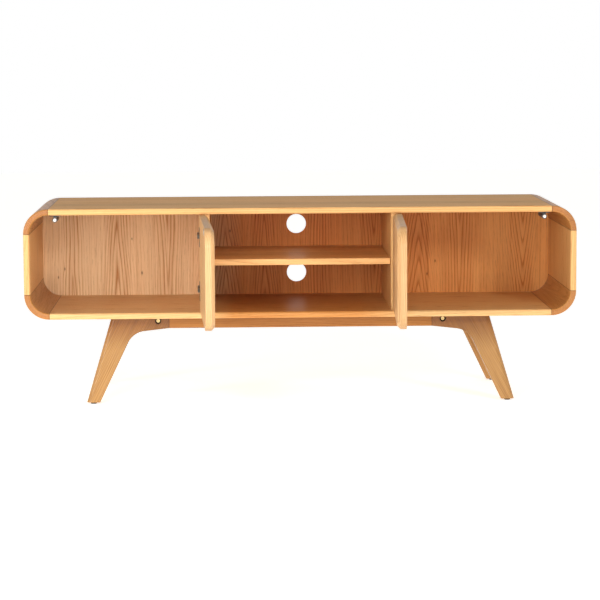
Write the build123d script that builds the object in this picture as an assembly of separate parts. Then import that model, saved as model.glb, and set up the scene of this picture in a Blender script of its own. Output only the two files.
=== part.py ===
from build123d import *
from math import cos, radians, sin
import os

# Low television stand with two open outer bays and a shelf between them. Millimetres.
# While it is modelled, X runs left to right, Y from the front plane to the back, and Z up
# from the underside of the cabinet. The finished parts are moved so that the origin is the
# bottom centre of the whole stand with its doors open.

# Cabinet
width = 1600.0
depth = 500.0
box_height = 320.0
board = 18.0
corner_radius = 72.0        # outside of the four rounded corner blocks
front_inner_round = 6.0
front_outer_round = 5.0
seam_bevel = 0.6            # along both edges of each corner block seam
back_thickness = 12.0
back_corner_relief = 2.0    # keeps the back panel's corners clear of the corner blocks
cable_hole_radius = 30.0
cable_hole_spacing = 150.0

# Dividers and shelf
centre_bay = 526.0
shelf_thickness = 18.0
shelf_level = 158.0         # middle of the shelf above the cabinet's underside
shelf_setback = 52.0
shelf_end_gap = 1.5
shelf_back_gap = 4.0
shelf_edge_round = 1.5
divider_edge_round = 1.5
pin_radius = 2.5
pin_reach = 8.0             # each way, into the divider and under the shelf
pin_inset = 45.0

# Dowels and screws that hold the cabinet
dowel_radius = 4.0
dowel_in_board = 12.0       # into the face of a board
dowel_in_end = 18.0         # into the end of a board
dowel_in_corner = 12.0
dowel_end_margin = 70.0
dowels_per_joint = 3
back_screw_radius = 2.0
back_screw_length = 35.0
back_screw_rows = 3
back_screw_margin = 40.0

# Doors, described closed
door_thickness = 26.0
door_recess = 1.5           # behind the front plane
door_gap = 2.0              # to the cabinet all round
door_reveal = 4.0           # of the divider's front edge left showing
door_bevel = 9.0
door_inner_round = 1.5
door_back_gap = 1.5         # from the closed door to the divider
open_angle = 92.5

# Concealed hinges
hinge_setback = 5.0         # turning axis from the hinge edge and from the outer face
hinge_height = 64.0         # from the inside of the top and bottom to each hinge
cup_radius = 17.5
cup_depth = 14.0
cup_wall = 1.5
cup_floor = 0.8
cup_flange = 1.2
cup_wing_reach = 28.0
cup_wing_width = 20.0
cup_wing_margin = 5.0       # of the wing past its screws
cup_screw_spacing = 45.0
cup_screw_offset = 9.5
cup_slot_half = 7.0
cup_screw_radius = 1.75
cup_screw_length = 11.0
plate_thickness = 3.0
plate_line = 37.0           # screw line behind the divider's front edge
plate_half_height = 24.0
plate_width = 16.0
plate_base_length = 44.0
plate_screw_spacing = 32.0
plate_screw_radius = 2.0
plate_screw_length = 14.0
arm_gap = 4.0               # from the divider's front edge to the arm
arm_length = 44.0
arm_wall = 1.2
link_width = 10.0
link_thickness = 4.0
link_clearance = 0.5
link_door_gap = 1.0         # from the open door's inner face to the link
link_travel = 33.0          # per quarter turn of the door
link_reach = 44.0
hook_length = 8.5
hook_depth = 8.0            # into the cup, from the door's inner face
hook_tip = 13.0             # from the open hinge edge into the cup mouth

# Push latches
latch_end_margin = 72.0     # from the inside of the side panel to the latch
latch_drop = 15.5           # axis below the top panel
latch_body_radius = 7.0
latch_body_length = 84.0
latch_body_start = 7.0      # behind the plunger's tip
latch_plate_width = 34.0
latch_plate_depth = 22.0
latch_plate_thickness = 5.0
latch_plate_round = 3.0
latch_web_width = 9.0
latch_adjuster_radius = 2.2
latch_adjuster_depth = 5.0
latch_adjuster_drop = 5.0
plunger_radius = 4.5
plunger_length = 34.0
plunger_clearance = 0.05
plunger_travel = 4.0
plunger_hole_radius = 1.6
plunger_hole_depth = 2.5
latch_screw_spacing = 25.0
latch_screw_radius = 1.75
latch_screw_length = 15.0
strike_radius = 9.0
strike_thickness = 1.5
strike_gap = 0.5
strike_screw_radius = 1.75
strike_screw_length = 14.0

# Leg frame
leg_height = 256.0          # floor to cabinet
frame_thickness = 36.0
frame_front_setback = 54.0
frame_rear_setback = 4.0
rail_height = 34.0
arm_end = 384.0             # from the middle to the seam between rail and leg arm
leg_top_outer = 552.0
foot_outer = 627.0
foot_width = 39.0
knee_across = 490.0
knee_drop = 46.0
knee_radius = 60.0
leg_outer_round = 15.0
leg_round_share = 0.45      # most of the leg's thickness that one round may take
leg_edge_round = 4.0
stretcher_across = 416.0
stretcher_width = 36.0
rail_dowel_drop = 9.0       # of each dowel from the rail's upper and lower face
rail_dowel_reach = 20.0

# Frame bolts, barrel nuts, screws and glides
bolt_drop = 12.5
bolt_radius = 4.0
bolt_head_radius = 5.2
bolt_head_height = 6.0
bolt_socket_across = 5.0
bolt_socket_depth = 3.5
counterbore_radius = 9.0
counterbore_depth = 14.0
washer_radius = 8.5
washer_thickness = 1.5
nut_setback = 30.0          # from the stretcher's end to its nut
nut_radius = 5.0
nut_length = 22.0
bolt_past_nut = 6.0
frame_screw_radius = 2.25
frame_screw_reach = 12.0    # into the cabinet's bottom panel
frame_screw_recess = 12.0
frame_screw_recess_radius = 5.0
rail_screw_across = 200.0
stretcher_screw_inset = 70.0
glide_radius = 9.0
glide_height = 5.0
glide_round = 1.0
glide_pin_radius = 2.5
glide_pin_length = 14.0

# Screw heads
head_ratio = 2.0            # head radius over shank radius
recess_ratio = 0.35         # cross arm width over shank radius
recess_depth_ratio = 0.7
countersink_ratio = 1.1     # head height over shank radius

# Derived places
half_width = width / 2
half_height = box_height / 2
inside_end = half_width - board
inside_top = box_height - board
divider_near = centre_bay / 2
divider_far = divider_near + board
back_front = depth - back_thickness
door_inner = door_recess + door_thickness
divider_front = door_inner + door_back_gap
hinge_edge = divider_near + door_reveal
axis_x = hinge_edge + hinge_setback
axis_y = door_recess + hinge_setback
hinge_levels = [board + hinge_height, inside_top - hinge_height]
open_inner = axis_x + door_inner - axis_y
open_edge = axis_y + hinge_setback
latch_x = inside_end - latch_end_margin
latch_z = inside_top - latch_drop
plunger_tip = door_inner + strike_thickness + strike_gap
latch_front = plunger_tip + latch_body_start
frame_front = frame_front_setback
frame_rear = depth - frame_rear_setback
leg_wood = leg_height - glide_height
foot_inner = foot_outer - foot_width


def block(x0, x1, y0, y1, z0, z1):
    corner = Pos(x0, y0, z0)
    return corner * Box(x1 - x0, y1 - y0, z1 - z0, align=(Align.MIN, Align.MIN, Align.MIN))


def upright(outline, front, back):
    # A flat outline stood up at the cabinet's middle height and given its depth.
    return Pos(0, front, half_height) * Rot(X=90) * extrude(outline, amount=front - back)


def rounded_slab(inset, radius, front, back):
    outline = RectangleRounded(width - 2 * inset, box_height - 2 * inset, radius)
    return upright(outline, front, back)


def aimed(shape, point, direction):
    return Plane(origin=point, z_dir=direction).location * shape


def rod(start, direction, radius, length):
    middle = Pos(0, 0, length / 2) * Cylinder(radius, length)
    return aimed(middle, start, direction)


def spread(low, high, count):
    return [low + (high - low) * step / (count - 1) for step in range(count)]


def both_sides(shapes):
    return shapes + [mirror(shape, about=Plane.YZ) for shape in shapes]


def screw_blank(radius, length):
    head_height = radius * countersink_ratio
    head = Pos(0, 0, head_height / 2) * Cone(radius * head_ratio, radius, head_height)
    shank = Pos(0, 0, length / 2) * Cylinder(radius, length)
    return head + shank


def screw(radius, length):
    # Countersunk, head at the origin and tip along +Z, with a cross recess.
    reach = 2 * radius * head_ratio * recess_depth_ratio
    arm = Box(reach, radius * recess_ratio, radius * recess_depth_ratio * 2)
    return screw_blank(radius, length) - arm - Rot(Z=90) * arm


def screws_at(places, radius, length):
    made = [aimed(screw(radius, length), point, way) for point, way in places]
    holes = [aimed(screw_blank(radius, length), point, way) for point, way in places]
    return made, holes


def cabinet_ring():
    outer = rounded_slab(0, corner_radius, 0, depth)
    ring = outer - rounded_slab(board, corner_radius - board, 0, depth)
    front_face = ring.faces().sort_by(Axis.Y)[0]
    ring = fillet(front_face.inner_wires()[0].edges(), front_inner_round)
    front_face = ring.faces().sort_by(Axis.Y)[0]
    return fillet(front_face.outer_wire().edges(), front_outer_round)


def split_ring(ring):
    flat = half_width - corner_radius
    low = corner_radius
    high = box_height - corner_radius
    cells = {
        "top_panel": (-flat, flat, half_height, box_height),
        "bottom_panel": (-flat, flat, 0, half_height),
        "left_side_panel": (-half_width, -flat, low, high),
        "right_side_panel": (flat, half_width, low, high),
        "top_left_corner": (-half_width, -flat, high, box_height),
        "top_right_corner": (flat, half_width, high, box_height),
        "bottom_left_corner": (-half_width, -flat, 0, low),
        "bottom_right_corner": (flat, half_width, 0, low),
    }
    return {name: eased(ring & block(x0, x1, 0, depth, z0, z1))
            for name, (x0, x1, z0, z1) in cells.items()}


def eased(piece):
    # Bevels every edge of the two seam faces except the one at the back.
    seams = piece.faces().filter_by(GeomType.PLANE).filter_by(
        lambda face: abs(face.normal_at().Y) < 0.5 and face.area < 2 * board * depth
        and len(face.edges()) > 4)
    edges = [edge for face in seams for edge in face.edges() if edge.center().Y < depth - board]
    return chamfer(edges, seam_bevel)


def seam_dowels():
    # Three dowels across each of the eight seams of the corner blocks.
    length = dowel_in_corner + dowel_in_end
    flat = half_width - corner_radius
    middle = board / 2
    dowels = []
    for y in spread(dowel_end_margin, depth - dowel_end_margin, dowels_per_joint):
        for z in (middle, box_height - middle):
            dowels.append(rod((flat + dowel_in_corner, y, z), (-1, 0, 0), dowel_radius, length))
        x = half_width - middle
        dowels.append(rod((x, y, corner_radius - dowel_in_corner), (0, 0, 1), dowel_radius, length))
        top = box_height - corner_radius + dowel_in_corner
        dowels.append(rod((x, y, top), (0, 0, -1), dowel_radius, length))
    return both_sides(dowels)


def divider_dowels():
    length = dowel_in_board + dowel_in_end
    x = divider_near + board / 2
    dowels = []
    first = divider_front + dowel_end_margin
    for y in spread(first, back_front - dowel_end_margin, dowels_per_joint):
        dowels.append(rod((x, y, board - dowel_in_board), (0, 0, 1), dowel_radius, length))
        dowels.append(rod((x, y, inside_top + dowel_in_board), (0, 0, -1), dowel_radius, length))
    return both_sides(dowels)


def back_screw_places():
    x = divider_near + board / 2
    rows = spread(board + back_screw_margin, inside_top - back_screw_margin, back_screw_rows)
    return [((side * x, depth, z), (0, -1, 0)) for side in (-1, 1) for z in rows]


def divider():
    plank = block(divider_near, divider_far, divider_front, back_front, board, inside_top)
    front_face = plank.faces().sort_by(Axis.Y)[0]
    return fillet(front_face.edges().filter_by(Axis.Z), divider_edge_round)


def back_panel():
    radius = corner_radius - board + back_corner_relief
    panel = rounded_slab(board, radius, back_front, depth)
    for side in (-1, 1):
        z = half_height + side * cable_hole_spacing / 2
        panel = panel - rod((0, depth, z), (0, -1, 0), cable_hole_radius, back_thickness)
    return panel


def shelf():
    half = divider_near - shelf_end_gap
    low = shelf_level - shelf_thickness / 2
    plank = block(-half, half, shelf_setback, back_front - shelf_back_gap, low, low + shelf_thickness)
    front_face = plank.faces().sort_by(Axis.Y)[0]
    return fillet(front_face.edges().filter_by(Axis.X), shelf_edge_round)


def shelf_pins():
    z = shelf_level - shelf_thickness / 2 - pin_radius
    pins = []
    for y in (shelf_setback + pin_inset, back_front - shelf_back_gap - pin_inset):
        pins.append(rod((divider_near - pin_reach, y, z), (1, 0, 0), pin_radius, 2 * pin_reach))
    return both_sides(pins)


def swing(shape):
    # Turns a piece of the closed right door to its open place.
    return Pos(axis_x, axis_y, 0) * Rot(Z=-open_angle) * Pos(-axis_x, -axis_y, 0) * shape


def closed_door():
    inset = board + door_gap
    slab = rounded_slab(inset, corner_radius - inset, door_recess, door_inner)
    leaf = slab & block(hinge_edge, half_width, 0, depth, 0, box_height)
    front_face = leaf.faces().sort_by(Axis.Y)[0]
    kept = front_face.edges().sort_by(Axis.X)[0]
    leaf = chamfer([edge for edge in front_face.edges() if edge != kept], door_bevel)
    inner_face = leaf.faces().sort_by(Axis.Y)[-1]
    return fillet(inner_face.edges(), door_inner_round)


def hinge_cup(level):
    # Steel cup pressed into the door, with a flange wing above and below its mouth.
    x = hinge_edge + hinge_setback + cup_radius
    cup = rod((x, door_inner, level), (0, -1, 0), cup_radius, cup_depth)
    face = door_inner + cup_flange
    wing_end = x + cup_screw_offset + cup_wing_margin
    wing = block(wing_end - cup_wing_width, wing_end, door_inner, face,
                 level - cup_wing_reach, level + cup_wing_reach)
    hollow = rod((x, face, level), (0, -1, 0), cup_radius - cup_wall, cup_flange + cup_depth - cup_floor)
    slot = block(x - cup_radius, x, door_inner, face, level - cup_slot_half, level + cup_slot_half)
    return cup + wing - hollow - slot


def cup_screw_places():
    x = hinge_edge + hinge_setback + cup_radius + cup_screw_offset
    heights = [level + side * cup_screw_spacing / 2 for level in hinge_levels for side in (-1, 1)]
    return [((x, door_inner + cup_flange, z), (0, -1, 0)) for z in heights]


def cup_pockets():
    x = hinge_edge + hinge_setback + cup_radius
    return [rod((x, door_inner, level), (0, -1, 0), cup_radius, cup_depth) for level in hinge_levels]


def mounting_plate(level):
    y = divider_front + plate_line
    face = divider_far + plate_thickness
    cross = block(divider_far, face, y - plate_width / 2, y + plate_width / 2,
                  level - plate_half_height, level + plate_half_height)
    cross = fillet(cross.edges().filter_by(Axis.X), plate_thickness)
    half = link_width / 2 + link_clearance + arm_wall
    start = divider_front + arm_gap
    base = block(divider_far, face, start, start + plate_base_length, level - half, level + half)
    return cross + base


def plate_screw_places():
    y = divider_front + plate_line
    x = divider_far + plate_thickness
    heights = [level + side * plate_screw_spacing / 2 for level in hinge_levels for side in (-1, 1)]
    return [((x, y, z), (-1, 0, 0)) for z in heights]


def hinge_arm(level):
    # Folded channel on the mounting plate; the link runs inside it.
    start = divider_front + arm_gap
    low = divider_far + plate_thickness
    slot = open_inner + link_door_gap
    high = slot + link_thickness + link_clearance + arm_wall
    half = link_width / 2 + link_clearance
    body = block(low, high, start, start + arm_length, level - half - arm_wall, level + half + arm_wall)
    body = fillet(body.edges().filter_by(Axis.Y).group_by(Axis.X)[-1], arm_wall)
    channel = block(slot - link_clearance, slot + link_thickness + link_clearance,
                    start, start + arm_length, level - half, level + half)
    return body - channel


def hinge_link(level):
    # Bowed link: a flat bar in the arm and a hook that reaches into the cup.
    near = open_inner + link_door_gap
    front = open_edge - hook_tip - link_clearance
    half = link_width / 2
    bar = block(near, near + link_thickness, front - hook_length, front + link_reach,
                level - half, level + half)
    hook = block(open_inner - hook_depth, near, front - hook_length, front, level - half, level + half)
    return bar + hook


def latch_housing():
    z0 = inside_top - latch_plate_thickness
    half = latch_plate_width / 2
    plate = block(latch_x - half, latch_x + half, latch_front, latch_front + latch_plate_depth, z0, inside_top)
    plate = fillet(plate.edges().filter_by(Axis.Z), latch_plate_round)
    web = block(latch_x - latch_web_width / 2, latch_x + latch_web_width / 2,
                latch_front, latch_front + latch_body_length, latch_z, inside_top)
    body = rod((latch_x, latch_front, latch_z), (0, 1, 0), latch_body_radius, latch_body_length)
    depth_of_bore = plunger_length - latch_body_start + plunger_travel + 2 * plunger_clearance
    bore = rod((latch_x, latch_front, latch_z), (0, 1, 0), plunger_radius + plunger_clearance, depth_of_bore)
    adjuster = rod((latch_x, latch_front, inside_top - latch_adjuster_drop), (0, 1, 0),
                   latch_adjuster_radius, latch_adjuster_depth)
    return plate + web + body - bore - adjuster


def latch_plunger():
    start = (latch_x, plunger_tip, latch_z)
    pin = rod(start, (0, 1, 0), plunger_radius, plunger_length)
    pin = fillet(pin.edges().sort_by(Axis.Y)[0], plunger_hole_radius / 2)
    return pin - rod(start, (0, 1, 0), plunger_hole_radius, plunger_hole_depth)


def latch_screw_places():
    y = latch_front + latch_plate_depth / 2
    z = inside_top - latch_plate_thickness
    return [((latch_x + side * latch_screw_spacing / 2, y, z), (0, 0, 1)) for side in (-1, 1)]


def strike_plate():
    start = (latch_x, door_inner, latch_z)
    plate = rod(start, (0, 1, 0), strike_radius, strike_thickness)
    return fillet(plate.edges().sort_by(Axis.Y)[-1], strike_thickness / 2)


def strike_screw_places():
    return [((latch_x, door_inner + strike_thickness, latch_z), (0, -1, 0))]


def leg_outline():
    corners = [(arm_end, 0), (leg_top_outer, 0), (foot_outer, -leg_wood), (foot_inner, -leg_wood),
               (knee_across, -knee_drop), (arm_end, -rail_height)]
    face = make_face(Polyline(corners, close=True))
    knee = face.vertices().sort_by_distance((knee_across, -knee_drop))[0]
    return fillet(knee, knee_radius)


def leg(front):
    # A right-hand leg with its arm, one board thick, its outer side rounded like a handle.
    piece = Pos(0, front, 0) * Rot(X=90) * extrude(leg_outline(), amount=-frame_thickness)
    outer_face = max(piece.faces().filter_by(GeomType.PLANE), key=lambda face: face.normal_at().X)
    long_edges = outer_face.edges().sort_by(SortBy.LENGTH)[-2:]
    piece = fillet(long_edges, min(leg_outer_round, leg_round_share * frame_thickness))
    foot_face = piece.faces().sort_by(Axis.Z)[0]
    under_start = foot_face.vertices().sort_by(Axis.X)[0]
    arms = piece.faces().sort_by(Axis.Y)
    under = [edge for face in (arms[0], arms[-1]) for edge in face.edges()
             if edge.center().Z < -leg_edge_round and arm_end < edge.center().X < under_start.X]
    return fillet(under, leg_edge_round)


def rail(front):
    bar = block(-arm_end, arm_end, front, front + frame_thickness, -rail_height, 0)
    lower = bar.edges().filter_by(Axis.X).group_by(Axis.Z)[0]
    return fillet(lower, leg_edge_round)


def stretcher():
    half = stretcher_width / 2
    bar = block(stretcher_across - half, stretcher_across + half, frame_front + frame_thickness,
                frame_rear - frame_thickness, -rail_height, 0)
    lower = bar.edges().filter_by(Axis.Y).group_by(Axis.Z)[0]
    return fillet(lower, leg_edge_round)


def rail_dowels():
    dowels = []
    for front in (frame_front, frame_rear - frame_thickness):
        y = front + frame_thickness / 2
        for z in (-rail_dowel_drop, rail_dowel_drop - rail_height):
            start = (arm_end - rail_dowel_reach, y, z)
            dowels.append(rod(start, (1, 0, 0), dowel_radius, 2 * rail_dowel_reach))
    return both_sides(dowels)


def bolt_ends():
    # Outer face of each frame at the right-hand stretcher, with the way the bolt goes in.
    return [(frame_front, 1), (frame_rear, -1)]


def bolt_length():
    return frame_thickness - counterbore_depth + washer_thickness + nut_setback + bolt_past_nut


def frame_bolts():
    bolts = []
    for face, way in bolt_ends():
        seat = (stretcher_across, face + way * (counterbore_depth - washer_thickness), -bolt_drop)
        shank = rod(seat, (0, way, 0), bolt_radius, bolt_length())
        head = rod(seat, (0, -way, 0), bolt_head_radius, bolt_head_height)
        top = (seat[0], seat[1] - way * bolt_head_height, seat[2])
        hexagon = extrude(RegularPolygon(bolt_socket_across / 2, 6, major_radius=False),
                          amount=bolt_socket_depth)
        bolts.append(shank + head - aimed(hexagon, top, (0, way, 0)))
    return both_sides(bolts)


def frame_washers():
    washers = []
    for face, way in bolt_ends():
        bottom = (stretcher_across, face + way * counterbore_depth, -bolt_drop)
        disc = rod(bottom, (0, -way, 0), washer_radius, washer_thickness)
        washers.append(disc - rod(bottom, (0, -way, 0), bolt_radius, washer_thickness))
    return both_sides(washers)


def bolt_holes():
    holes = []
    for face, way in bolt_ends():
        start = (stretcher_across, face, -bolt_drop)
        holes.append(rod(start, (0, way, 0), counterbore_radius, counterbore_depth))
        holes.append(rod(start, (0, way, 0), bolt_radius, counterbore_depth + bolt_length()))
    return both_sides(holes)


def barrel_nuts():
    nuts = []
    for face, way in bolt_ends():
        y = face + way * (frame_thickness + nut_setback)
        low = (stretcher_across, y, -(rail_height + nut_length) / 2)
        nut = rod(low, (0, 0, 1), nut_radius, nut_length)
        thread = rod((stretcher_across, face, -bolt_drop), (0, way, 0), bolt_radius,
                     frame_thickness + nut_setback + 2 * nut_radius)
        nuts.append(nut - thread)
    return both_sides(nuts)


def nut_holes():
    holes = []
    top = (rail_height + nut_length) / 2
    for face, way in bolt_ends():
        y = face + way * (frame_thickness + nut_setback)
        holes.append(rod((stretcher_across, y, -rail_height), (0, 0, 1), nut_radius, top))
    return both_sides(holes)


def frame_screw_points():
    points = []
    for front in (frame_front, frame_rear - frame_thickness):
        points.append((rail_screw_across, front + frame_thickness / 2))
    stretcher_front = frame_front + frame_thickness
    stretcher_rear = frame_rear - frame_thickness
    points.append((stretcher_across, stretcher_front + stretcher_screw_inset))
    points.append((stretcher_across, stretcher_rear - stretcher_screw_inset))
    return points + [(-x, y) for x, y in points]


def frame_screw_places():
    z = frame_screw_recess - rail_height
    return [((x, y, z), (0, 0, 1)) for x, y in frame_screw_points()]


def frame_screw_recesses():
    return [rod((x, y, -rail_height), (0, 0, 1), frame_screw_recess_radius, frame_screw_recess)
            for x, y in frame_screw_points()]


def glides():
    x = foot_outer - foot_width / 2
    pads = []
    for front in (frame_front, frame_rear - frame_thickness):
        y = front + frame_thickness / 2
        pad = rod((x, y, -leg_height), (0, 0, 1), glide_radius, glide_height)
        pad = fillet(pad.edges().sort_by(Axis.Z)[0], glide_round)
        pads.append(pad + rod((x, y, -leg_wood), (0, 0, 1), glide_pin_radius, glide_pin_length))
    return both_sides(pads)


def glide_holes():
    x = foot_outer - foot_width / 2
    holes = []
    for front in (frame_front, frame_rear - frame_thickness):
        y = front + frame_thickness / 2
        holes.append(rod((x, y, -leg_wood), (0, 0, 1), glide_pin_radius, glide_pin_length))
    return both_sides(holes)


def add_cabinet(nodes):
    seams = seam_dowels()
    uprights = divider_dowels()
    pins = shelf_pins()
    back_screws, back_holes = screws_at(back_screw_places(), back_screw_radius, back_screw_length)
    for name, piece in split_ring(cabinet_ring()).items():
        nodes[name] = piece - seams
    nodes["top_panel"] = nodes["top_panel"] - uprights
    nodes["bottom_panel"] = nodes["bottom_panel"] - uprights
    right = divider() - [cut for cut in uprights + pins + back_holes if cut.center().X > 0]
    nodes["right_divider"] = right
    nodes["left_divider"] = mirror(right, about=Plane.YZ)
    nodes["back_panel"] = back_panel() - back_holes
    nodes["centre_shelf"] = shelf()
    nodes["shelf_pins"] = pins
    nodes["corner_dowels"] = seams
    nodes["divider_dowels"] = uprights
    nodes["back_panel_screws"] = back_screws


def add_frame(nodes):
    dowels = rail_dowels()
    bolts = bolt_holes()
    frame_length = rail_height - frame_screw_recess + frame_screw_reach
    screws, screw_holes = screws_at(frame_screw_places(), frame_screw_radius, frame_length)
    screw_holes = screw_holes + frame_screw_recesses()
    pad_holes = glide_holes()
    rear_front = frame_rear - frame_thickness
    for place, front in (("front", frame_front), ("rear", rear_front)):
        near = [cut for cut in dowels + bolts + pad_holes
                if front - nut_setback < cut.center().Y < front + frame_thickness + nut_setback]
        right = leg(front) - [cut for cut in near if cut.center().X > 0]
        nodes[place + "_right_leg"] = right
        nodes[place + "_left_leg"] = mirror(right, about=Plane.YZ)
        nodes[place + "_rail"] = rail(front) - dowels - screw_holes
    right = stretcher() - [cut for cut in bolts + nut_holes() + screw_holes if cut.center().X > 0]
    nodes["right_stretcher"] = right
    nodes["left_stretcher"] = mirror(right, about=Plane.YZ)
    nodes["bottom_panel"] = nodes["bottom_panel"] - screw_holes
    nodes["rail_dowels"] = dowels
    nodes["frame_bolts"] = frame_bolts()
    nodes["frame_washers"] = frame_washers()
    nodes["barrel_nuts"] = barrel_nuts()
    nodes["frame_screws"] = screws
    nodes["foot_glides"] = glides()


def add_pair(nodes, name, piece):
    # The right-hand piece and its mirrored left-hand twin.
    nodes["right_" + name] = piece
    if isinstance(piece, list):
        nodes["left_" + name] = [mirror(one, about=Plane.YZ) for one in piece]
    else:
        nodes["left_" + name] = mirror(piece, about=Plane.YZ)


def add_doors(nodes):
    cup_screws, cup_holes = screws_at(cup_screw_places(), cup_screw_radius, cup_screw_length)
    strike_screws, strike_holes = screws_at(strike_screw_places(), strike_screw_radius,
                                            strike_screw_length)
    leaf = closed_door() - cup_pockets() - cup_holes - strike_holes
    add_pair(nodes, "door", swing(leaf))
    for place, level in zip(("lower", "upper"), hinge_levels):
        add_pair(nodes, place + "_hinge_cup", swing(hinge_cup(level) - cup_holes))
    add_pair(nodes, "cup_screws", [swing(one) for one in cup_screws])
    add_pair(nodes, "strike_plate", swing(strike_plate() - strike_holes))
    add_pair(nodes, "strike_screw", swing(strike_screws[0]))


def add_fittings(nodes):
    plate_screws, plate_holes = screws_at(plate_screw_places(), plate_screw_radius, plate_screw_length)
    latch_screws, latch_holes = screws_at(latch_screw_places(), latch_screw_radius, latch_screw_length)
    for place, level in zip(("lower", "upper"), hinge_levels):
        add_pair(nodes, place + "_hinge_plate", mounting_plate(level) - plate_holes)
        add_pair(nodes, place + "_hinge_arm", hinge_arm(level))
        add_pair(nodes, place + "_hinge_link", hinge_link(level))
    right = nodes["right_divider"] - plate_holes
    nodes["right_divider"] = right
    nodes["left_divider"] = mirror(right, about=Plane.YZ)
    nodes["hinge_plate_screws"] = both_sides(plate_screws)
    add_pair(nodes, "latch_housing", latch_housing() - latch_holes)
    add_pair(nodes, "latch_plunger", latch_plunger())
    nodes["latch_screws"] = both_sides(latch_screws)
    nodes["top_panel"] = nodes["top_panel"] - both_sides(latch_holes)


def build_nodes():
    nodes = {}
    add_cabinet(nodes)
    add_frame(nodes)
    add_doors(nodes)
    add_fittings(nodes)
    return nodes


def solids_of(piece):
    pieces = piece if isinstance(piece, list) else [piece]
    return [solid for one in pieces for solid in one.solids()]


def ground_shift():
    # From the modelling frame to the bottom centre of the whole stand with its doors open.
    turned = radians(open_angle)
    free_edge = inside_end - door_gap - axis_x
    round_centre = free_edge - door_inner_round, door_inner - door_inner_round - axis_y
    inner_point = axis_y - round_centre[0] * sin(turned) + round_centre[1] * cos(turned) - door_inner_round
    bevel_point = axis_y - free_edge * sin(turned) + (door_bevel - hinge_setback) * cos(turned)
    return -(depth + min(inner_point, bevel_point)) / 2, leg_height


def finished():
    shift_y, shift_z = ground_shift()
    place = Pos(0, shift_y, shift_z)
    return {name: [place * solid for solid in solids_of(piece)] for name, piece in build_nodes().items()}


def write_parts():
    os.makedirs("parts", exist_ok=True)
    for name, solids in finished().items():
        shape = solids[0] if len(solids) == 1 else Compound(children=solids)
        export_step(shape, f"parts/{name}.step")
        print(name, len(solids))


write_parts()
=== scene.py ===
import bpy
import bmesh
import math
from mathutils import Matrix, Vector


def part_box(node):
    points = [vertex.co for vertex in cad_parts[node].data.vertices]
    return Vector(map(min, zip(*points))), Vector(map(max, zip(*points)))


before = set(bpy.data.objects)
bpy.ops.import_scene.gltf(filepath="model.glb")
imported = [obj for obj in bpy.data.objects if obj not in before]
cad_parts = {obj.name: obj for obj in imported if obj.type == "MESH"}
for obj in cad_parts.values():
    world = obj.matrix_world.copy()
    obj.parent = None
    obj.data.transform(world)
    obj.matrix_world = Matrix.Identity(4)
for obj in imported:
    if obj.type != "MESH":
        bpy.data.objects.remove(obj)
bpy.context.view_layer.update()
print("frame loaded,", len(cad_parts), "parts")


camera = {
    "across": -0.193,       # metres from the middle of the stand
    "behindFront": -6.807,  # from the cabinet's front plane, towards the viewer
    "height": 1.068,
    "pitch": -6.370,        # degrees, down is negative
    "roll": 0.321,
    "yaw": -1.596,
    "focal": 141.99,
    "sensor": 36.0,
}


def addCamera():
    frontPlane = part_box("top_panel")[0].y
    data = bpy.data.cameras.new("camera")
    data.sensor_width = camera["sensor"]
    data.lens = camera["focal"]
    data.clip_end = 100.0
    data.dof.use_dof = False
    made = bpy.data.objects.new("camera", data)
    bpy.context.scene.collection.objects.link(made)
    lookAlongY = Matrix.Rotation(math.radians(90), 4, "X")
    turn = (Matrix.Rotation(math.radians(camera["yaw"]), 4, "Z")
            @ Matrix.Rotation(math.radians(camera["pitch"]), 4, "X")
            @ Matrix.Rotation(math.radians(camera["roll"]), 4, "Y"))
    place = Matrix.Translation((camera["across"], frontPlane + camera["behindFront"], camera["height"]))
    made.matrix_world = place @ turn @ lookAlongY
    bpy.context.scene.camera = made


class Sock:
    def __init__(self, tree, out):
        self.tree = tree
        self.out = out

    def maths(self, operation, *others, clamp=False):
        made = self.tree.nodes.new("ShaderNodeMath")
        made.operation = operation
        made.use_clamp = clamp
        for slot, value in enumerate((self,) + others):
            if isinstance(value, Sock):
                self.tree.links.new(value.out, made.inputs[slot])
            else:
                made.inputs[slot].default_value = value
        return Sock(self.tree, made.outputs[0])

    def __add__(self, other):
        return self.maths("ADD", other)

    def __radd__(self, other):
        return self.maths("ADD", other)

    def __sub__(self, other):
        return self.maths("SUBTRACT", other)

    def __rsub__(self, other):
        return self.maths("MULTIPLY_ADD", -1.0, other)

    def __mul__(self, other):
        return self.maths("MULTIPLY", other)

    def __rmul__(self, other):
        return self.maths("MULTIPLY", other)

    def __truediv__(self, other):
        return self.maths("DIVIDE", other)

    def __abs__(self):
        return self.maths("ABSOLUTE")

    def floor(self):
        return self.maths("FLOOR")

    def fract(self):
        return self.maths("FRACT")

    def root(self):
        return self.maths("SQRT")

    def clamp(self):
        return self.maths("ADD", 0.0, clamp=True)


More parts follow.
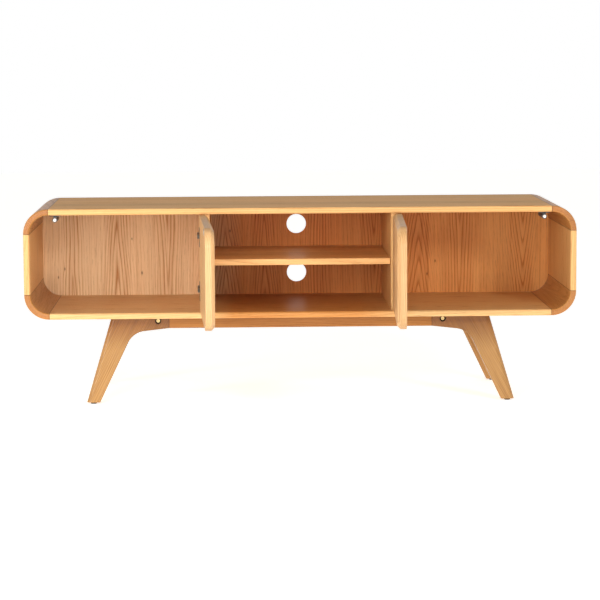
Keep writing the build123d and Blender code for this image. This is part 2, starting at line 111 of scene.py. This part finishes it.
class Finish:
    def __init__(self, name, **constants):
        self.material = bpy.data.materials.new(name)
        self.material.use_nodes = True
        self.tree = self.material.node_tree
        self.shader = self.tree.nodes["Principled BSDF"]
        for key, value in constants.items():
            self.shader.inputs[key.replace("_", " ")].default_value = value

    def node(self, kind, settings=None, values=None, output=0):
        made = self.tree.nodes.new("ShaderNode" + kind)
        for key, value in (settings or {}).items():
            if key == "stops":
                while len(made.color_ramp.elements) < len(value):
                    made.color_ramp.elements.new(0.5)
                for element, (place, colour) in zip(made.color_ramp.elements, value):
                    element.position = place
                    element.color = colour
            else:
                setattr(made, key, value)
        for key, value in (values or {}).items():
            if isinstance(value, Sock):
                self.tree.links.new(value.out, made.inputs[key])
            else:
                made.inputs[key].default_value = value
        return Sock(self.tree, made.outputs[output])

    def coordinate(self, kind):
        coords = self.node("TexCoord")
        split = self.tree.nodes.new("ShaderNodeSeparateXYZ")
        self.tree.links.new(coords.out.node.outputs[kind], split.inputs[0])
        return [Sock(self.tree, split.outputs[i]) for i in range(3)]

    def axes(self):
        return self.coordinate("Object")

    def normals(self):
        return self.coordinate("Normal")

    def vector(self, x, y, z):
        return self.node("CombineXYZ", values={0: x, 1: y, 2: z})

    def noise(self, place, detail=2.0, rough=0.5):
        return self.node("TexNoise", {"noise_dimensions": "3D"},
                         {"Vector": place, "Scale": 1.0, "Detail": detail, "Roughness": rough})

    def random(self, value):
        return self.node("TexWhiteNoise", {"noise_dimensions": "1D"}, {"W": value})

    def ramp(self, value, stops):
        return self.node("ValToRGB", {"stops": stops}, {"Fac": value})

    def step(self, value, low, high):
        return self.node("MapRange", {"interpolation_type": "SMOOTHSTEP"},
                         {"Value": value, "From Min": low, "From Max": high})

    def mix(self, amount, first, second, blend="MIX"):
        return self.node("Mix", {"data_type": "RGBA", "blend_type": blend},
                         {0: amount, 6: first, 7: second}, output=2)

    def link(self, socket, name):
        self.tree.links.new(socket.out, self.shader.inputs[name])

    def bump(self, height, distance, strength=1.0):
        made = self.node("Bump", values={"Height": height, "Distance": distance, "Strength": strength})
        self.link(made, "Normal")


def shade(red, green, blue):
    # display colour, 0 to 255, to scene colour
    parts = [value / 255 for value in (red, green, blue)]
    return tuple(v / 12.92 if v <= 0.04045 else ((v + 0.055) / 1.055) ** 2.4 for v in parts) + (1.0,)


oakDefaults = {
    # how the board is cut
    "grain": "xyz",         # axis along the grain, across the board's face, through the board
    "lean": 0.0,            # degrees that the grain is turned from its axis, in the plane of the face
    "middle": (0.0, 0.0, 0.0),
    "stave": 0.118,         # width of one glued board
    "start": 0.0,           # where the first glued board begins
    "seed": 0.0,
    # the tree's rings
    "ring": 0.0046,         # width of one year
    "pith": 0.030,          # depth of the tree's middle below the face
    "offset": 0.9,          # how far the middle wanders across its board
    "drift": 0.006,
    "taper": 0.05,          # how fast the rings leave the face along the grain
    "sway": 0.012,
    "ripple": 0.22,         # waver of each ring, in rings
    "uneven": 2.4,          # how much the years differ in width, in rings
    "yearScale": 0.23,      # how soon the width changes, per ring
    # darkness through one year
    "year": ((0.0, 0.85), (0.10, 1.0), (0.28, 0.38), (0.55, 0.05), (0.90, 0.10), (1.0, 0.85)),
    "calm": 0.55,           # how much the rings fade away from the middle of each board
    "plainRange": (0.12, 0.34),     # where they begin and end to fade, in boards
    # size of each pattern: repeats per metre along the grain, then across it
    "driftScale": (3.0, 14.0),
    "swayScale": (2.4, 3.0),
    "rippleScale": (9.0, 120.0),
    "streakScale": (4.0, 230.0),
    "poreScale": (48.0, 1400.0),
    "cloudScale": (1.6, 7.0),
    # part of each pattern's range that shows
    "streakRange": (0.36, 0.74),
    "poreRange": (0.57, 0.67),
    "cloudRange": (0.30, 0.70),
    "endRange": (0.75, 0.98),       # how squarely a face cuts the grain
    # colours, 0 to 255
    "light": (230, 183, 120),
    "dark": (190, 130, 72),
    "red": (246, 214, 176),
    "poreColour": (120, 72, 38),
    "knotColour": (92, 46, 22),
    "seamColour": (96, 54, 26),
    "endColour": (176, 112, 62),
    # strengths
    "contrast": 0.70,
    "ringShare": 0.70,
    "streakShare": 0.45,
    "poreShare": 0.40,
    "toneSpread": 0.16,     # how much one glued board is lighter than another
    "cloudSpread": 0.10,
    "redness": 0.2,
    "endDark": 0.35,
    "roughness": 0.36,
    "sheen": 0.2,
    "relief": 0.00018,      # depth of the open pores, in metres
    # single marks
    "knots": (),            # (along, across, size) of each knot
    "seams": (),            # (axis, place) of each dark glue line
    "seamWidth": (0.0006, 0.0015),
    "tint": (),             # axis, first place, last place, then the colours between them; a slow colour change along one axis, used for painted shade
}


class Oak(Finish):
    def __init__(self, name, **changes):
        self.wood = {**oakDefaults, **changes}
        sheen = self.wood["sheen"]
        super().__init__(name, IOR=1.45, Specular_IOR_Level=sheen,
                         Coat_Weight=sheen * 0.3, Coat_Roughness=0.22)
        self.body = dict(zip("xyz", self.axes()))
        self.turnToGrain()
        self.splitIntoStaves()
        self.growRings()
        self.colour()

    def turnToGrain(self):
        place = {axis: self.body[axis] - middle for axis, middle in zip("xyz", self.wood["middle"])}
        along, across, self.deep = (place[axis] for axis in self.wood["grain"])
        if self.wood["lean"]:
            turn = math.radians(self.wood["lean"])
            along, across = (along * math.cos(turn) + across * math.sin(turn),
                             across * math.cos(turn) - along * math.sin(turn))
        self.along, self.across = along, across

    def drawn(self, step):
        # one random number for each glued board; the steps only keep the draws apart
        return self.random(self.board + (self.wood["seed"] + step))

    def splitIntoStaves(self):
        wood = self.wood
        lane = (self.across + wood["start"]) / wood["stave"]
        self.board = lane.floor()
        self.tone = self.drawn(0.0)
        self.shift = self.drawn(31.7)
        heart = self.drawn(77.1)
        self.travel = self.along + self.shift * 9.0     # no two boards show the same stretch of tree
        self.fromMiddle = (lane - self.board - 0.5 + (heart - 0.5) * wood["offset"]) * wood["stave"]

    def figure(self, scale, **detail):
        lengthwise, crosswise = self.wood[scale]
        place = self.vector(self.travel * lengthwise, self.across * crosswise, self.deep * crosswise)
        return self.noise(place, **detail)

    def growRings(self):
        wood = self.wood
        lengthwise, crosswise = wood["driftScale"]
        driftPlace = self.vector(self.travel * lengthwise, self.across * crosswise, wood["seed"])
        drift = self.noise(driftPlace) - 0.5
        lengthwise, crosswise = wood["swayScale"]
        swayPlace = self.vector(self.travel * lengthwise, self.board * crosswise, wood["seed"] + 5.0)
        sway = self.noise(swayPlace) - 0.5
        slope = (self.drawn(12.9) - 0.5) * 2.0
        depth = self.deep + wood["pith"] * (0.6 + 0.8 * self.shift)
        sideways = self.fromMiddle + sway * wood["sway"]
        radius = ((sideways * sideways + depth * depth).root()
                  + drift * wood["drift"] + self.along * slope * wood["taper"])
        radius = self.bendRoundKnots(radius)
        ripple = self.figure("rippleScale") - 0.5
        count = radius / wood["ring"]
        yearsPlace = self.vector(count * wood["yearScale"], self.board, wood["seed"] + 9.0)
        years = self.noise(yearsPlace, detail=1.0) * wood["uneven"]
        phase = (count + years + ripple * wood["ripple"]).fract()
        self.ring = self.ramp(phase, [(at, (dark,) * 4) for at, dark in wood["year"]])
        plainFrom, plainTo = (share * wood["stave"] for share in wood["plainRange"])
        plain = self.step(abs(sideways) + drift * 0.05, plainFrom, plainTo) * wood["calm"]
        self.bands = self.ring * wood["ringShare"] * (1.0 - plain)

    def bendRoundKnots(self, radius):
        self.spots = None
        for knotAlong, knotAcross, size in self.wood["knots"]:
            dAlong = (self.body[self.wood["grain"][0]] - knotAlong) / (size * 3.2)
            dAcross = (self.body[self.wood["grain"][1]] - knotAcross) / size
            away = dAlong * dAlong + dAcross * dAcross
            radius = radius + (away * -0.40).maths("EXPONENT") * (size * 0.9)
            spot = ((dAlong * dAlong * 6.0 + dAcross * dAcross * 3.0) * -1.6).maths("EXPONENT")
            self.spots = spot if self.spots is None else self.spots + spot
        return radius

    def colour(self):
        wood = self.wood
        streak = self.figure("streakScale", detail=4.0, rough=0.65)
        pores = self.step(self.figure("poreScale", detail=1.0), *wood["poreRange"]) * (0.2 + 0.8 * self.ring)
        lengthwise, crosswise = wood["cloudScale"]
        cloud = self.noise(self.vector(self.travel * lengthwise, self.across * crosswise,
                                       self.deep * crosswise + 3.0))
        streaks = self.step(streak, *wood["streakRange"]) * wood["streakShare"]
        dark = (self.bands + streaks) * wood["contrast"]
        colour = self.mix(dark.clamp(), shade(*wood["light"]), shade(*wood["dark"]))
        redder = (self.step(cloud, *wood["cloudRange"]) * wood["redness"]).clamp()
        colour = self.mix(redder, colour, shade(*wood["red"]), "MULTIPLY")
        colour = self.mix((pores * wood["poreShare"]).clamp(), colour, shade(*wood["poreColour"]))
        if self.spots is not None:
            colour = self.mix((self.spots * 0.95).clamp(), colour, shade(*wood["knotColour"]))
        for axis, where in wood["seams"]:
            line = 1.0 - self.step(abs(self.body[axis] - where), *wood["seamWidth"])
            colour = self.mix(line * 0.8, colour, shade(*wood["seamColour"]))
        if wood["tint"]:
            colour = self.paintTintAndShade(colour, *wood["tint"])
        facing = abs(dict(zip("xyz", self.normals()))[wood["grain"][0]])
        sawnEnd = self.step(facing, *wood["endRange"]) * wood["endDark"]
        colour = self.mix(sawnEnd, colour, shade(*wood["endColour"]), "MULTIPLY")
        brightness = 1.0 + (self.tone - 0.5) * wood["toneSpread"] + (cloud - 0.5) * wood["cloudSpread"]
        colour = self.node("VectorMath", {"operation": "SCALE"}, {0: colour, "Scale": brightness})
        self.link(colour, "Base Color")
        self.link((wood["roughness"] + pores * 0.20 + (streak - 0.5) * 0.12).clamp(), "Roughness")
        self.bump(self.ring * 0.2 - pores + streak * 0.2, wood["relief"], 0.8)

    def paintTintAndShade(self, colour, axis, first, last, stops):
        # a slow change of colour along one axis, used as painted shade, left off faces that look to the rear
        where = self.node("MapRange", values={"Value": self.body[axis], "From Min": first, "From Max": last})
        shown = self.step(self.normals()[1], 0.5, 0.0)
        tones = self.ramp(where, [(at, shade(*tone)) for at, tone in stops])
        return self.mix(shown, colour, tones, "MULTIPLY")


def dress(material, *names):
    for name in names:
        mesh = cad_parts[name].data
        mesh.materials.clear()
        mesh.materials.append(material)


def dressOak(*names, **changes):
    low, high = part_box(names[0])
    dress(Oak("oak_" + names[0], middle=tuple((low + high) / 2), **changes).material, *names)


# seams of the corner blocks and of the legs' arms
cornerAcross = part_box("top_panel")[1].x
cornerLow, cornerHigh = (corner.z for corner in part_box("left_side_panel"))
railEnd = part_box("front_rail")[1].x
plainWood = (255, 255, 255)

topPanel = {
    "seed": 2.0,
    "start": 0.02,
    "light": (226, 180, 120),
    "dark": (190, 132, 74),
    "contrast": 0.75,
    "sheen": 0.12,
    "roughness": 0.55,
}
bottomPanel = {
    "seed": 11.0,
    "light": (230, 188, 128),
    "contrast": 0.75,
    # partly the board's own colour and partly painted shade: the middle bay turns darker and warmer
    "tint": ("x", -0.7, 0.7, ((0.30, plainWood), (0.36, (236, 204, 168)), (0.62, (236, 204, 168)),
                              (0.74, plainWood))),
}
centreShelf = {
    "seed": 19.0,
    "light": (238, 186, 122),
    "contrast": 0.75,
}


def dressLongBoards():
    seams = (("x", cornerAcross), ("x", -cornerAcross))
    dressOak("top_panel", seams=seams, **topPanel)
    dressOak("bottom_panel", seams=seams, **bottomPanel)
    dressOak("centre_shelf", **centreShelf)
    print("top, bottom and shelf finished")


uprights = {"grain": "zyx", "seeds": {"left": 23.0, "right": 29.0}, "dividerStep": 14.0, "doorStep": 30.0}
doorLeaf = {
    "light": (206, 166, 118),
    "dark": (172, 126, 78),
    "endDark": 0.1,
    "contrast": 0.8,
}


def dressUprights():
    grain = uprights["grain"]
    for side, seed in uprights["seeds"].items():
        dressOak(side + "_side_panel", grain=grain, seed=seed, seams=(("z", cornerLow), ("z", cornerHigh)))
        dressOak(side + "_divider", grain=grain, seed=seed + uprights["dividerStep"])
        dressOak(side + "_door", grain=grain, seed=seed + uprights["doorStep"], **doorLeaf)
    print("sides, dividers and doors finished")


backPanel = {
    "grain": "zxy",
    "seed": 43.0,
    "stave": 0.152,         # width of one leaf of veneer
    "start": 0.012,
    "ring": 0.0092,
    "pith": 0.008,
    "offset": 0.5,
    "drift": 0.016,
    "taper": 0.16,
    "sway": 0.020,
    "ripple": 0.16,
    "calm": 0.8,
    "light": (250, 218, 172),
    "dark": (190, 130, 78),
    "contrast": 0.95,
    "toneSpread": 0.12,
    "redness": 0.15,
    "sheen": 0.08,
    # partly the veneer's own colour and partly painted shade: the middle and right bays turn darker and
    # warmer
    "tint": ("x", -0.7, 0.7, ((0.26, plainWood), (0.38, (238, 180, 128)), (0.62, (238, 180, 128)),
                              (0.95, (250, 212, 164)))),
    "knots": ((0.342, -0.478, 0.005), (0.356, -0.716, 0.004), (0.330, -0.736, 0.004), (0.448, -0.508, 0.003),
              (0.470, -0.205, 0.004), (0.372, 0.430, 0.004), (0.332, 0.405, 0.004)),
}


def dressBack():
    dressOak("back_panel", **backPanel)
    print("back finished")


cornerBlock = {
    "grain": "yxz",
    "stave": 0.3,           # one solid block
    "light": (194, 138, 76),
    "dark": (136, 80, 34),
    "redness": 0.1,
    "sheen": 0.3,
}
cornerSeeds = {"top_left": 62.344, "top_right": 66.712, "bottom_left": 61.112, "bottom_right": 65.48}


def dressCorners():
    for corner, seed in cornerSeeds.items():
        end = cornerAcross if corner.endswith("right") else -cornerAcross
        level = cornerHigh if corner.startswith("top") else cornerLow
        dressOak(corner + "_corner", seed=seed, seams=(("x", end), ("z", level)), **cornerBlock)
    print("corner blocks finished")


leg = {
    "grain": "xzy",
    "stave": 0.5,
    "pith": 0.05,
    "light": (180, 138, 84),
    "dark": (126, 82, 36),
    "contrast": 1.1,
    "redness": 0.1,
    "endDark": 0.0,
    "sheen": 0.3,
    "roughness": 0.26,
    # painted shadow: the legs' arms and tops turn darker towards the cabinet above
    "tint": ("z", 0.10, 0.26, ((0.35, plainWood), (0.85, (196, 172, 150)))),
}
legSplay = 62.0             # degrees between the leg's grain and the rail
legSeeds = {"front_left": 133.0, "front_right": 9.0, "rear_left": 138.0, "rear_right": 14.0}
rail = {
    "grain": "xzy",
    "stave": 0.5,
    # partly the rail's own oak and partly painted shade: darker than the legs for the shade under the
    # cabinet
    "light": (166, 112, 54),
    "dark": (136, 84, 34),
    "contrast": 0.8,
    "redness": 0.1,
}
railSeeds = {"front": 83.0, "rear": 84.0}
stretcher = {
    "grain": "yzx",
    "seed": 91.0,
    "stave": 0.5,
    "light": (180, 122, 64),
    "dark": (138, 84, 38),
}


def dressLegFrame():
    for name, seed in legSeeds.items():
        turn = 1 if name.endswith("left") else -1
        dressOak(name + "_leg", lean=turn * legSplay, seed=seed, seams=(("x", -turn * railEnd),), **leg)
    for row, seed in railSeeds.items():
        dressOak(row + "_rail", seed=seed, seams=(("x", railEnd), ("x", -railEnd)), **rail)
    dressOak("left_stretcher", "right_stretcher", **stretcher)
    print("leg frame finished")


dowel = {
    "ring": 0.002,
    "light": (222, 190, 140),
    "dark": (196, 156, 104),
    "contrast": 0.3,
}


def dressDowels():
    dressOak("corner_dowels", "divider_dowels", "rail_dowels", **dowel)


metals = {
    # painted shade: the hinges' plated metal gets a dark colour for the shade they sit in
    "shadedNickel": {"colour": (84, 76, 66), "roughness": 0.38},
    "zinc": {"colour": (176, 176, 170), "roughness": 0.36, "brushed": 0.2},
    "brass": {"colour": (198, 170, 118), "roughness": 0.34},
    "blackened": {"colour": (15, 14, 14), "roughness": 0.6},
    "grimeScale": 180.0,
    "brushScale": (300.0, 40.0, 3000.0),
    "grimeShare": 0.35,
    "grimeDark": 0.62,      # colour of the dull patches, as a share of the metal's
    "relief": 0.00006,
}


def plated(name):
    metal = metals[name]
    brushed = metal.get("brushed", 0.0)
    f = Finish(name, Metallic=1.0)
    axes = f.axes()
    grime = f.noise(f.vector(*(axis * metals["grimeScale"] for axis in axes)), detail=3.0)
    lines = f.noise(f.vector(*(axis * scale for axis, scale in zip(axes, metals["brushScale"]))))
    dull = shade(*(part * metals["grimeDark"] for part in metal["colour"]))
    dulled = f.step(grime, 0.45, 0.8) * metals["grimeShare"]
    f.link(f.mix(dulled, shade(*metal["colour"]), dull), "Base Color")
    f.link((metal["roughness"] + (grime - 0.5) * 0.18 + (lines - 0.5) * brushed).clamp(), "Roughness")
    f.bump(grime * 0.5 + lines * brushed, metals["relief"], 0.6)
    return f.material


plastics = {
    "latchGrey": {"colour": (74, 75, 76), "roughness": 0.5},
    "latchWhite": {"colour": (232, 230, 224), "roughness": 0.38},
    "glideBlack": {"colour": (12, 12, 12), "roughness": 0.55},
    "grainScale": 2200.0,
    "dustScale": 60.0,
    "dustShare": 0.25,
    "relief": 0.00005,
}


def moulded(name):
    plastic = plastics[name]
    f = Finish(name, IOR=1.46)
    axes = f.axes()
    grain = f.noise(f.vector(*(axis * plastics["grainScale"] for axis in axes)))
    dust = f.noise(f.vector(*(axis * plastics["dustScale"] for axis in axes)), detail=3.0)
    dusty = shade(*(min(255, part * 1.25 + 12) for part in plastic["colour"]))
    dustLies = f.step(dust, 0.5, 0.85) * plastics["dustShare"]
    f.link(f.mix(dustLies, shade(*plastic["colour"]), dusty), "Base Color")
    f.link((plastic["roughness"] + (dust - 0.5) * 0.2).clamp(), "Roughness")
    f.bump(grain, plastics["relief"], 0.5)
    return f.material


def dressFittings():
    shadedNickel = plated("shadedNickel")
    zinc = plated("zinc")
    latchGrey = moulded("latchGrey")
    latchWhite = moulded("latchWhite")
    for side in ("left", "right"):
        for level in ("upper", "lower"):
            for piece in ("cup", "arm", "plate", "link"):
                dress(shadedNickel, side + "_" + level + "_hinge_" + piece)
        dress(zinc, side + "_cup_screws", side + "_strike_screw", side + "_strike_plate")
        dress(latchGrey, side + "_latch_housing")
        dress(latchWhite, side + "_latch_plunger")
    dress(zinc, "hinge_plate_screws", "latch_screws", "back_panel_screws", "frame_screws", "shelf_pins")
    dress(plated("brass"), "frame_bolts", "barrel_nuts")
    dress(plated("blackened"), "frame_washers")
    dress(moulded("glideBlack"), "foot_glides")
    print("fittings finished")


studio = {
    "floorSize": 24.0,
    "floorColour": (250, 250, 249),
    "floorPatches": (228, 227, 224),
    "floorGlow": 0.60,
    "glowPatches": (240, 240, 238),
    "horizon": (1.0, 1.0, 1.0, 1.0),
    "zenith": (0.43, 0.42, 0.41, 1.0),
    "skyFade": (0.04, 0.30),    # heights on the sky where the horizon's white ends and the zenith begins
    "lights": {
        "key": {"place": (-0.85, -2.45, 1.12), "aim": (-0.35, 0.2, 0.42), "size": (0.7, 1.1), "power": 32.0},
        "side": {"place": (2.0, -3.1, 1.60), "aim": (0.45, 0.2, 0.42), "size": (0.5, 0.5), "power": 45.0},
        "front": {"place": (0.05, -4.6, 0.75), "aim": (0.0, 0.2, 0.42), "size": (0.9, 0.6), "power": 26.0},
        "left": {"place": (-2.8, -1.9, 0.75), "aim": (-0.3, 0.1, 0.25), "size": (0.5, 1.0), "power": 32.0},
    },
}


def addFloor():
    form = bmesh.new()
    bmesh.ops.create_grid(form, x_segments=1, y_segments=1, size=studio["floorSize"] / 2)
    mesh = bpy.data.meshes.new("floor")
    form.to_mesh(mesh)
    form.free()
    floor = bpy.data.objects.new("floor", mesh)
    bpy.context.scene.collection.objects.link(floor)
    f = Finish("floorPaint", Roughness=0.85, Emission_Strength=studio["floorGlow"])
    x, y, z = f.axes()
    soft = f.noise(f.vector(x * 0.7, y * 0.7, 0.0), detail=1.0)
    colour = shade(*studio["floorColour"])
    f.link(f.mix(soft * 0.04, colour, shade(*studio["floorPatches"])), "Base Color")
    f.link(f.mix(soft * 0.02, colour, shade(*studio["glowPatches"])), "Emission Color")
    mesh.materials.append(f.material)


def addLight(name, place, aim, size, power):
    data = bpy.data.lights.new(name, "AREA")
    data.shape = "RECTANGLE"
    data.size, data.size_y = size
    data.energy = power
    lamp = bpy.data.objects.new(name, data)
    bpy.context.scene.collection.objects.link(lamp)
    lamp.location = place
    lamp.visible_camera = False
    lamp.rotation_euler = (Vector(aim) - Vector(place)).to_track_quat("-Z", "Y").to_euler()


def addSky():
    world = bpy.data.worlds.new("studio")
    world.use_nodes = True
    tree = world.node_tree
    split = tree.nodes.new("ShaderNodeSeparateXYZ")
    tree.links.new(tree.nodes.new("ShaderNodeTexCoord").outputs["Generated"], split.inputs[0])
    fade = tree.nodes.new("ShaderNodeValToRGB")
    for element, height, name in zip(fade.color_ramp.elements, studio["skyFade"], ("horizon", "zenith")):
        element.position = height
        element.color = studio[name]
    tree.links.new(split.outputs[2], fade.inputs[0])
    tree.links.new(fade.outputs[0], tree.nodes["Background"].inputs["Color"])
    bpy.context.scene.world = world


def lightStudio():
    addFloor()
    addSky()
    for name, settings in studio["lights"].items():
        addLight(name, **settings)
    bpy.context.scene.view_settings.view_transform = "Standard"
    print("studio lit")


addCamera()
dressLongBoards()
dressUprights()
dressBack()
dressCorners()
dressLegFrame()
dressDowels()
dressFittings()
lightStudio()
